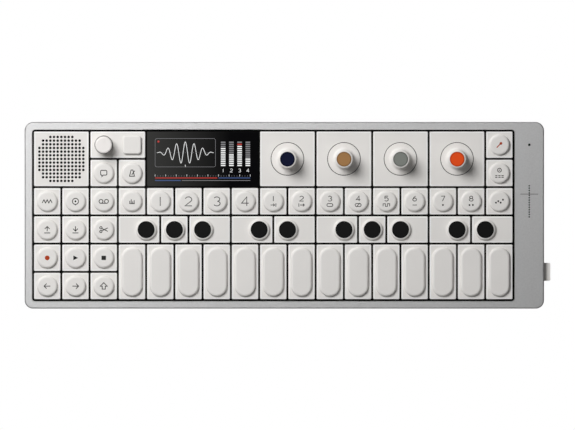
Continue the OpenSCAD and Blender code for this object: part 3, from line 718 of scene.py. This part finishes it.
class KnobFinish(bpy.types.Operator):
    """Encoder knobs with their coloured caps, the volume knob and the square rocker"""

    bl_idname = "synthesizer.knob_finish"
    bl_label = "Knobs and rocker"

    def execute(self, context):
        look = context.scene.synthesizer_knobs
        finish = {"roughness": 0.45, "drift": 0.012, "grain": 0.15 * MM, "specular": 0.45}
        plastic = surface("knob plastic", look.plastic, **finish)
        caps = (
            ("navy cap", look.cap_1),
            ("ochre cap", look.cap_2),
            ("grey cap", look.cap_3),
            ("orange cap", look.cap_4),
        )
        for number, (name, base) in zip(ENCODERS, caps):
            dress(f"encoder_knob_{number}", plastic)
            dress(f"encoder_cap_{number}", self.turned_cap(name, base, *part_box(f"encoder_cap_{number}")))
        dress("volume_knob", surface("white knob plastic", look.volume, **finish))
        dress("bend_paddle", tile_plastic(context.scene.synthesizer_keys))
        return {"FINISHED"}

    def turned_cap(self, name, base, low, high):
        """Cap plastic with fine turned rings and an outer ring darkened as painted shade."""
        material = surface(name, base, 0.5, drift=0.05, drift_size=3 * MM, specular=0.12)
        nodes, links = material.node_tree.nodes, material.node_tree.links
        middle = nodes.new("ShaderNodeVectorMath")
        middle.operation = "SUBTRACT"
        middle.inputs[1].default_value = ((low.x + high.x) / 2, (low.y + high.y) / 2, high.z)
        links.new(model_place(nodes), middle.inputs[0])
        rings = nodes.new("ShaderNodeTexWave")
        rings.wave_type = "RINGS"
        rings.rings_direction = "Z"
        rings.inputs["Scale"].default_value = RING_WAVE / RING_PITCH
        rings.inputs["Distortion"].default_value = 0.3
        links.new(middle.outputs["Vector"], rings.inputs["Vector"])
        bump = nodes["Bump"]
        bump.inputs["Strength"].default_value = 0.35
        links.new(rings.outputs["Fac"], bump.inputs["Height"])
        out = nodes.new("ShaderNodeVectorMath")
        out.operation = "LENGTH"
        links.new(middle.outputs["Vector"], out.inputs[0])
        # The cap's outer ring is darkened: painted shade.
        stops = (OUTER_START, base), (OUTER_END, shaded(base, CAP_RIM_PAINTED_SHADE))
        tone = faded(nodes, links, out.outputs["Value"], 0.0, (high.x - low.x) / 2, *stops)
        links.new(tone, nodes["Principled BSDF"].inputs["Base Color"])
        return material


class KeyMarks(bpy.types.Operator):
    """Symbols and plain digits printed on the round keys"""

    bl_idname = "synthesizer.key_marks"
    bl_label = "Key marks"

    def execute(self, context):
        look = context.scene.synthesizer_marks
        inks = {
            "dark": ink("dark key ink", look.ink),
            "pale": ink("pale key ink", look.pale_ink),
            "red": ink("red key ink", look.red_ink),
        }
        w = look.stroke / MM
        for node, cells in ROUND_KEYS.items():
            sheets = {"dark": Sheet(BUTTON_TOP, look.film)}
            for number, cell in enumerate(cells):
                self.mark_key(sheets, node, number, cell_centre(*cell), w, look.film)
            for tone, sheet in sheets.items():
                if sheet.verts:
                    marks = sheet.piece(f"{node}_{tone}_marks", inks[tone], node + "_body")
        return {"FINISHED"}

    def mark_key(self, sheets, node, number, centre, w, film):
        """Draws the mark of one key."""

        def tone(name):
            if name not in sheets:
                sheets[name] = Sheet(BUTTON_TOP, film)
            return sheets[name].at(*centre)

        if node == "mode_keys":
            self.mode_mark(tone, number, w)
        elif node == "track_keys":
            for points, closed in digit(number + 1):
                tone("pale").stroke(moved(points, 0, 0, 4.2, 4.9), w, closed)
        elif node == "sound_keys":
            for points, closed in digit(number + 1):
                tone("dark").stroke(moved(points, 0, 1.5, 2.4, 2.7), w * 0.85, closed)
            self.sound_mark(tone("dark"), number, w * 0.85)
        elif node == "edit_keys":
            self.edit_mark(tone("dark"), number, w)
        elif node == "record_key":
            tone("red").dot(0, 0, 1.3)
        elif node == "play_key":
            tone("dark").fill([(-1.15, -1.25), (1.5, 0), (-1.15, 1.25)])
        elif node == "stop_key":
            tone("dark").fill(rounded(2.45, 2.35, 0.12, 2))
        elif node == "cursor_keys":
            self.cursor_mark(tone("dark"), number, w)
        elif node == "upper_left_keys":
            self.upper_left_mark(tone("dark"), number, w)
        elif node == "upper_right_keys":
            self.upper_right_mark(tone, number, w)

    def mode_mark(self, tone, number, w):
        """Wave, dial, reels, bars and steps."""
        if number == 0:
            points = [(-2.7 + 0.9 * i, 0.85 if i % 2 else -0.85) for i in range(7)]
            tone("dark").stroke(points, w)
        elif number == 1:
            tone("dark").stroke(circle(0, 0, 1.65, 32), w, closed=True)
            tone("dark").dot(0, 0, 0.5)
            tone("dark").stroke([(0, -1.6), (0, -2.2)], w)
        elif number == 2:
            for side in (-1, 1):
                tone("dark").stroke(circle(side * 1.5, 0, 1.05, 24), w, closed=True)
            tone("dark").stroke([(-1.5, -1.05), (1.5, -1.05)], w)
        elif number == 3:
            for x, top in ((-1.2, 0.3), (-0.4, 1.1), (0.4, 0.0), (1.2, 0.6)):
                tone("pale").stroke([(x, -1.1), (x, top)], w)
            tone("pale").stroke([(-1.5, -1.2), (1.5, -1.2)], w)
        else:
            for x, y in ((-1.9, -0.7), (-0.65, 0.1), (0.65, -0.7), (1.9, 0.9)):
                tone("dark").dot(x, y, 0.5, 16)

    def sound_mark(self, sheet, number, w):
        """A small plain mark under the digit."""
        y = -2.0
        if number == 0:
            sheet.stroke([(-1.5, y), (0.7, y)], w)
            sheet.stroke([(0.0, y + 0.7), (0.7, y), (0.0, y - 0.7)], w)
            sheet.stroke([(1.4, y - 0.9), (1.4, y + 0.9)], w)
        elif number == 1:
            sheet.stroke([(-0.9, y), (1.5, y)], w)
            sheet.stroke([(0.8, y + 0.7), (1.5, y), (0.8, y - 0.7)], w)
            sheet.stroke([(-1.5, y - 0.9), (-1.5, y + 0.9)], w)
        elif number == 2:
            sheet.stroke(moved(rounded(3.2, 1.6, 0.75, 5), 0, y), w, closed=True)
        elif number == 3:
            sheet.stroke(moved(rounded(3.2, 1.6, 0.75, 5), 0, y), w, closed=True)
            sheet.stroke([(-0.9, y - 1.1), (0.9, y + 1.1)], w)
        elif number == 4:
            points = [(-1.8, y - 0.7), (-1.8, y + 0.7), (-0.6, y + 0.7), (-0.6, y - 0.7)]
            points += [(0.6, y - 0.7), (0.6, y + 0.7), (1.8, y + 0.7), (1.8, y - 0.7)]
            sheet.stroke(points, w)
        elif number == 5:
            sheet.stroke([(-1.2, y), (1.2, y)], w)
        elif number == 6:
            sheet.dot(0, y, 0.5, 16)
        else:
            sheet.dot(-0.9, y, 0.5, 16)
            sheet.dot(0.9, y, 0.5, 16)

    def edit_mark(self, sheet, number, w):
        """Lift, drop and cut."""
        if number == 0:
            sheet.stroke([(0, -0.9), (0, 1.6)], w)
            sheet.stroke([(-1.3, 0.4), (0, 1.7), (1.3, 0.4)], w)
            sheet.stroke([(-1.6, -1.8), (1.6, -1.8)], w)
        elif number == 1:
            sheet.stroke([(0, 1.8), (0, -0.7)], w)
            sheet.stroke([(-1.3, 0.5), (0, -0.8), (1.3, 0.5)], w)
            sheet.stroke([(-1.6, -1.8), (1.6, -1.8)], w)
        else:
            for side in (-1, 1):
                sheet.stroke(circle(-1.55, side * 1.0, 0.62, 18), w, closed=True)
                sheet.stroke([(-1.05, side * 0.65), (2.2, -side * 0.95)], w)

    def cursor_mark(self, sheet, number, w):
        """Left arrow, right arrow and outlined up arrow."""
        if number == 2:
            arrow = [(0, 1.9), (-1.9, 0), (-0.85, 0), (-0.85, -1.6), (0.85, -1.6), (0.85, 0), (1.9, 0)]
            sheet.stroke(arrow, w, closed=True)
            return
        side = -1 if number == 0 else 1
        sheet.stroke([(-side * 1.7, 0), (side * 1.6, 0)], w)
        sheet.stroke([(side * 0.3, 1.4), (side * 1.7, 0), (side * 0.3, -1.4)], w)

    def upper_left_mark(self, sheet, number, w):
        """Speech bubble and metronome."""
        if number == 0:
            bubble = [(-0.3, -1.1), (-1.0, -1.9), (-1.0, -1.1)]
            bubble += arc(-1.1, -0.5, 0.6, 270, 180, 4) + arc(-1.1, 0.9, 0.6, 180, 90, 4)
            bubble += arc(1.1, 0.9, 0.6, 90, 0, 4) + arc(1.1, -0.5, 0.6, 0, -90, 4)
            sheet.stroke(bubble, w, closed=True)
        else:
            sheet.stroke([(-1.35, -1.7), (1.35, -1.7), (0.5, 1.7), (-0.5, 1.7)], w, closed=True)
            sheet.stroke([(-0.1, -0.9), (1.5, 1.3)], w)

    def upper_right_mark(self, tone, number, w):
        """Microphone, and a ring over three short bars."""
        if number == 0:
            tone("red").dot(0.8, 0.8, 0.75, 20)
            tone("red").stroke([(-1.5, -1.5), (0.5, 0.5)], w * 1.2)
        else:
            tone("dark").stroke(circle(0, 1.6, 1.05, 24), w * 0.9, closed=True)
            tone("dark").dot(0, 1.6, 0.32, 12)
            for x in (-1.7, 0, 1.7):
                tone("dark").stroke([(x - 0.6, -1.4), (x + 0.6, -1.4)], w)
                tone("dark").stroke([(x - 0.6, -2.3), (x + 0.6, -2.3)], w)


class ScreenPicture(bpy.types.Operator):
    """Dark glass with a plain lit picture: a wave, level bars and a scale"""

    bl_idname = "synthesizer.screen_picture"
    bl_label = "Screen"

    def execute(self, context):
        look = context.scene.synthesizer_screen
        low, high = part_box("display_glass")
        dress("display_glass", self.glass_with_painted_reflection(look, low.x, high.x))
        middle = ((low.x + high.x) / 2, (low.y + high.y) / 2)
        sheets = {tone: Sheet(high.z, look.film).at(*middle) for tone in ("white", "grey", "red", "blue")}
        self.wave(sheets)
        self.bars(sheets)
        self.scale(sheets)
        for tone, sheet in sheets.items():
            lit = lit_line(f"lit {tone} line", getattr(look, tone))
            sheet.piece(f"screen_{tone}_lines", lit, "case")
        return {"FINISHED"}

    def glass_with_painted_reflection(self, look, left, right):
        """Dark glass with a painted reflection that is palest at the left edge and fades to the right."""
        material = surface(
            "dark display glass", look.glass, 0.14, rough_drift=0.03, grain_strength=0.02, specular=0.1
        )
        nodes, links = material.node_tree.nodes, material.node_tree.links
        across = nodes.new("ShaderNodeSeparateXYZ")
        links.new(model_place(nodes), across.inputs["Vector"])
        # Paler glass at the left edge, fading to the right: a painted reflection.
        stops = (0.0, look.painted_reflection), (REFLECTION_END, look.glass)
        tone = faded(nodes, links, across.outputs["X"], left, right, *stops)
        links.new(tone, nodes["Principled BSDF"].inputs["Base Color"])
        return material

    def wave(self, sheets):
        """A swelling wave in a thin frame with a dotted middle line."""
        left, span, middle, height, beats, steps = -25, 31, 3.4, 5.9, 6.5, 180
        sheets["grey"].stroke(moved(rounded(33, 15.5, 1.0), -9.5, middle), 0.18, closed=True)
        for i in range(21):
            sheets["grey"].dot(-24.5 + 1.5 * i, middle, 0.16, 8)
        points = []
        for i in range(steps + 1):
            t = i / steps
            swell = math.sin(math.pi * t) ** 1.5
            points.append((left + span * t, middle + height * swell * math.sin(2 * math.pi * beats * t)))
        sheets["white"].stroke(points, 0.3)
        sheets["white"].stroke([(-9.5, -3.2), (-9.5, -4.2)], 0.3)
        sheets["red"].dot(-24.2, 9.5, 0.55, 20)

    def bars(self, sheets):
        """Four stacked level bars with their numbers."""
        half, rise, steps, red_step = 1.25, 1.15, 12, 10
        for number, level in enumerate((9, 6, 11, 4)):
            x = 11.2 + 4.5 * number
            for step in range(steps):
                lit = "red" if step == red_step else "white"
                tone = lit if step < level else "grey"
                foot, head = step * rise - 3.9, step * rise - 3.2
                sheets[tone].fill([(x - half, foot), (x + half, foot), (x + half, head), (x - half, head)])
            for points, closed in digit(number + 1):
                sheets["white"].stroke(moved(points, x, -6.3, 1.4, 1.8), 0.24, closed)

    def scale(self, sheets):
        """A ruled scale with a red line and a blue span."""
        left, right, ticks, foot, upper, lower = -26, 26, 36, -9.6, -10.4, -11.8
        for i in range(ticks + 1):
            tone, tall = ("white", 1.1) if i % 4 == 0 else ("grey", 0.55)
            x = left + (right - left) * i / ticks
            sheets[tone].stroke([(x, foot), (x, foot + tall)], 0.2)
        sheets["red"].stroke([(left, upper), (8, upper)], 0.45)
        sheets["blue"].stroke([(8.6, upper), (right, upper)], 0.45)
        sheets["blue"].stroke([(left, lower), (-12, lower)], 0.45)
        sheets["grey"].stroke([(-11.4, lower), (right, lower)], 0.3)


class SideFinish(bpy.types.Operator):
    """Slider, sockets, feet and screws"""

    bl_idname = "synthesizer.side_finish"
    bl_label = "Side and underside fittings"

    def execute(self, context):
        # The slider's near-white colour is partly its own light grey and partly painted light that lifts it
        # out of the case's shadow.
        dress("power_slider", surface("grey slider plastic", (0.95, 0.925, 0.89), 0.5, drift=0.03))
        socket = surface("black socket plastic", (0.012, 0.012, 0.012), 0.45, drift=0.15, grain=0.3 * MM)
        nickel_tone = (0.62, 0.60, 0.56)
        nickel = surface("nickel contact", nickel_tone, 0.25, metallic=1.0, drift=0.06, drift_size=1 * MM)
        data = dress("side_sockets", socket, nickel)
        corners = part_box("side_sockets")
        paint_where(data, 1, lambda face: self.on_nickel(face, *corners))
        paint_where(data, 0, lambda face: self.on_tongue(face, *corners))
        dress("feet", surface("soft foot rubber", (0.025, 0.025, 0.026), 0.8, drift=0.15, grain=0.5 * MM))
        dress("case_screws", surface("black oxide steel", (0.10, 0.10, 0.105), 0.4, metallic=1.0, drift=0.1))
        return {"FINISHED"}

    def on_nickel(self, face, low, high):
        """Whether a face lies inside a socket or on the charging socket's shell."""
        return face.center.x < high.x - SOCKET_SKIN or face.center.y < low.y + SHELL_W

    def on_tongue(self, face, low, high):
        """Whether a face lies on the dark tongue in the charging socket."""
        y, z = low.y + TONGUE_Y, (low.z + high.z) / 2 + TONGUE_RISE
        return abs(face.center.y - y) < TONGUE_HALF_W and abs(face.center.z - z) < TONGUE_HALF_H


class StudioStage(bpy.types.Operator):
    """Pale floor, soft lights from the back left and the front, a fill and the camera above"""

    bl_idname = "synthesizer.studio_stage"
    bl_label = "Studio stage"

    def execute(self, context):
        look = context.scene.synthesizer_stage
        self.floor(look)
        self.lights(context, look)
        self.camera(context, look)
        context.scene.view_settings.view_transform = "Standard"
        return {"FINISHED"}

    def floor(self, look):
        """A wide pale floor just under the feet."""
        mesh = bpy.data.meshes.new("studio_floor")
        corners = [(x * FLOOR_HALF, y * FLOOR_HALF, 0) for x, y in ((-1, -1), (1, -1), (1, 1), (-1, 1))]
        mesh.from_pydata(corners, [], [(0, 1, 2, 3)])
        obj = bpy.data.objects.new("studio_floor", mesh)
        obj.location.z = -FLOOR_DROP
        bpy.context.scene.collection.objects.link(obj)
        material, nodes, links, shader = node_material("pale studio floor")
        tone = noise(nodes, links, 0.6, 2.0)
        links.new(tinted(nodes, links, tone, look.floor, 0.01), shader.inputs["Base Color"])
        shader.inputs["Roughness"].default_value = 0.9
        shader.inputs["Specular IOR Level"].default_value = 0.0
        glow = nodes.new("ShaderNodeEmission")
        glow.inputs["Color"].default_value = (1.0, 1.0, 1.0, 1.0)
        glow.inputs["Strength"].default_value = look.floor_glow
        seen = nodes.new("ShaderNodeLightPath")
        mix = nodes.new("ShaderNodeMixShader")
        links.new(seen.outputs["Is Camera Ray"], mix.inputs["Fac"])
        links.new(shader.outputs["BSDF"], mix.inputs[1])
        links.new(glow.outputs["Emission"], mix.inputs[2])
        links.new(mix.outputs["Shader"], nodes["Material Output"].inputs["Surface"])
        mesh.materials.append(material)

    def lights(self, context, look):
        """A key light for the keys, two for the metal, a wide one at the front, and a fill."""
        near = (look.key_distance, look.key_size)
        key = self.square_light(context, "key_light", KEY_WAY, *near, look.key_power)
        steep = self.square_light(context, "case_light", CASE_WAY, *near, look.case_power)
        edge = self.square_light(context, "edge_light", EDGE_WAY, WIDE_DISTANCE, EDGE_SIZE, look.edge_power)
        self.square_light(context, "front_light", FRONT_WAY, WIDE_DISTANCE, FRONT_SIZE, look.front_power)
        self.aim_at_case(key, "EXCLUDE")
        self.aim_at_case(steep, "INCLUDE")
        self.aim_at_case(edge, "INCLUDE")
        self.world(context, look)

    def aim_at_case(self, light, state):
        """Lets a light pass over the metal case, or reach it alone."""
        reach = bpy.data.collections.new(light.name + "_reach")
        reach.objects.link(NODES["chassis"])
        reach.collection_objects[0].light_linking.link_state = state
        light.light_linking.receiver_collection = reach

    def square_light(self, context, name, way, distance, size, power):
        """A square light that stands that way from the object and faces it."""
        lamp = bpy.data.lights.new(name, "AREA")
        lamp.shape = "SQUARE"
        lamp.size = size
        lamp.energy = power
        obj = bpy.data.objects.new(name, lamp)
        way = Vector(way).normalized()
        obj.location = way * distance
        obj.rotation_euler = way.to_track_quat("Z", "Y").to_euler()
        context.scene.collection.objects.link(obj)
        return obj

    def world(self, context, look):
        """A fill that is strongest at the back left and fades to the front right."""
        world = bpy.data.worlds.new("studio_world")
        world.use_nodes = True
        nodes, links = world.node_tree.nodes, world.node_tree.links
        towards = nodes.new("ShaderNodeVectorMath")
        towards.operation = "DOT_PRODUCT"
        towards.inputs[1].default_value = Vector(FILL_WAY).normalized()
        links.new(nodes.new("ShaderNodeTexCoord").outputs["Generated"], towards.inputs[0])
        share = nodes.new("ShaderNodeMapRange")
        share.inputs["From Min"].default_value = -1.0
        share.inputs["To Max"].default_value = look.fill
        links.new(towards.outputs["Value"], share.inputs["Value"])
        links.new(share.outputs["Result"], nodes["Background"].inputs["Strength"])
        nodes["Background"].inputs["Color"].default_value = (1.0, 1.0, 1.0, 1.0)
        context.scene.world = world

    def camera(self, context, look):
        """A long lens above the middle of the picture, leaning a little to the back."""
        data = bpy.data.cameras.new("studio_camera")
        data.sensor_fit = "HORIZONTAL"
        data.sensor_width = SENSOR
        data.lens = SENSOR * look.camera_distance / look.frame_width
        data.clip_start = 0.1
        data.clip_end = 100.0
        obj = bpy.data.objects.new("studio_camera", data)
        obj.location = CAMERA_AIM + CAMERA_LEAN * look.camera_distance
        obj.rotation_euler = (-math.atan(CAMERA_LEAN.y), math.atan(CAMERA_LEAN.x), 0.0)
        context.scene.collection.objects.link(obj)
        context.scene.camera = obj


LOOKS = {
    "synthesizer_case": CaseLook,
    "synthesizer_keys": KeyLook,
    "synthesizer_marks": MarkLook,
    "synthesizer_knobs": KnobLook,
    "synthesizer_screen": ScreenLook,
    "synthesizer_stage": StageLook,
}

OPERATORS = (
    CaseFinish,
    InnerFinish,
    TileFinish,
    RoundKeyFinish,
    WhiteKeyFinish,
    BlackKeyFinish,
    KnobFinish,
    KeyMarks,
    ScreenPicture,
    SideFinish,
    StudioStage,
)


class SynthesizerPanel(bpy.types.Panel):
    """The synthesizer's settings and steps in the sidebar"""

    bl_idname = "VIEW3D_PT_synthesizer"
    bl_label = "Synthesizer"
    bl_space_type = "VIEW_3D"
    bl_region_type = "UI"
    bl_category = "Synthesizer"

    def draw(self, context):
        for operator in OPERATORS:
            self.layout.operator(operator.bl_idname)
        for name, group in LOOKS.items():
            box = self.layout.box()
            for setting in group.__annotations__:
                box.prop(getattr(context.scene, name), setting)


def register():
    """Adds the settings, the steps and the panel."""
    for group in LOOKS.values():
        bpy.utils.register_class(group)
    for name, group in LOOKS.items():
        setattr(bpy.types.Scene, name, PointerProperty(type=group))
    for operator in OPERATORS:
        bpy.utils.register_class(operator)
    bpy.utils.register_class(SynthesizerPanel)


def unregister():
    """Takes the panel, the steps and the settings away."""
    bpy.utils.unregister_class(SynthesizerPanel)
    for operator in reversed(OPERATORS):
        bpy.utils.unregister_class(operator)
    for name in LOOKS:
        delattr(bpy.types.Scene, name)
    for group in reversed(list(LOOKS.values())):
        bpy.utils.unregister_class(group)


def main():
    """Runs every step in order."""
    register()
    bpy.ops.synthesizer.case_finish()
    bpy.ops.synthesizer.inner_finish()
    bpy.ops.synthesizer.tile_finish()
    bpy.ops.synthesizer.round_key_finish()
    bpy.ops.synthesizer.white_key_finish()
    bpy.ops.synthesizer.black_key_finish()
    bpy.ops.synthesizer.knob_finish()
    bpy.ops.synthesizer.key_marks()
    bpy.ops.synthesizer.screen_picture()
    bpy.ops.synthesizer.side_finish()
    bpy.ops.synthesizer.studio_stage()


if __name__ == "__main__":
    main()
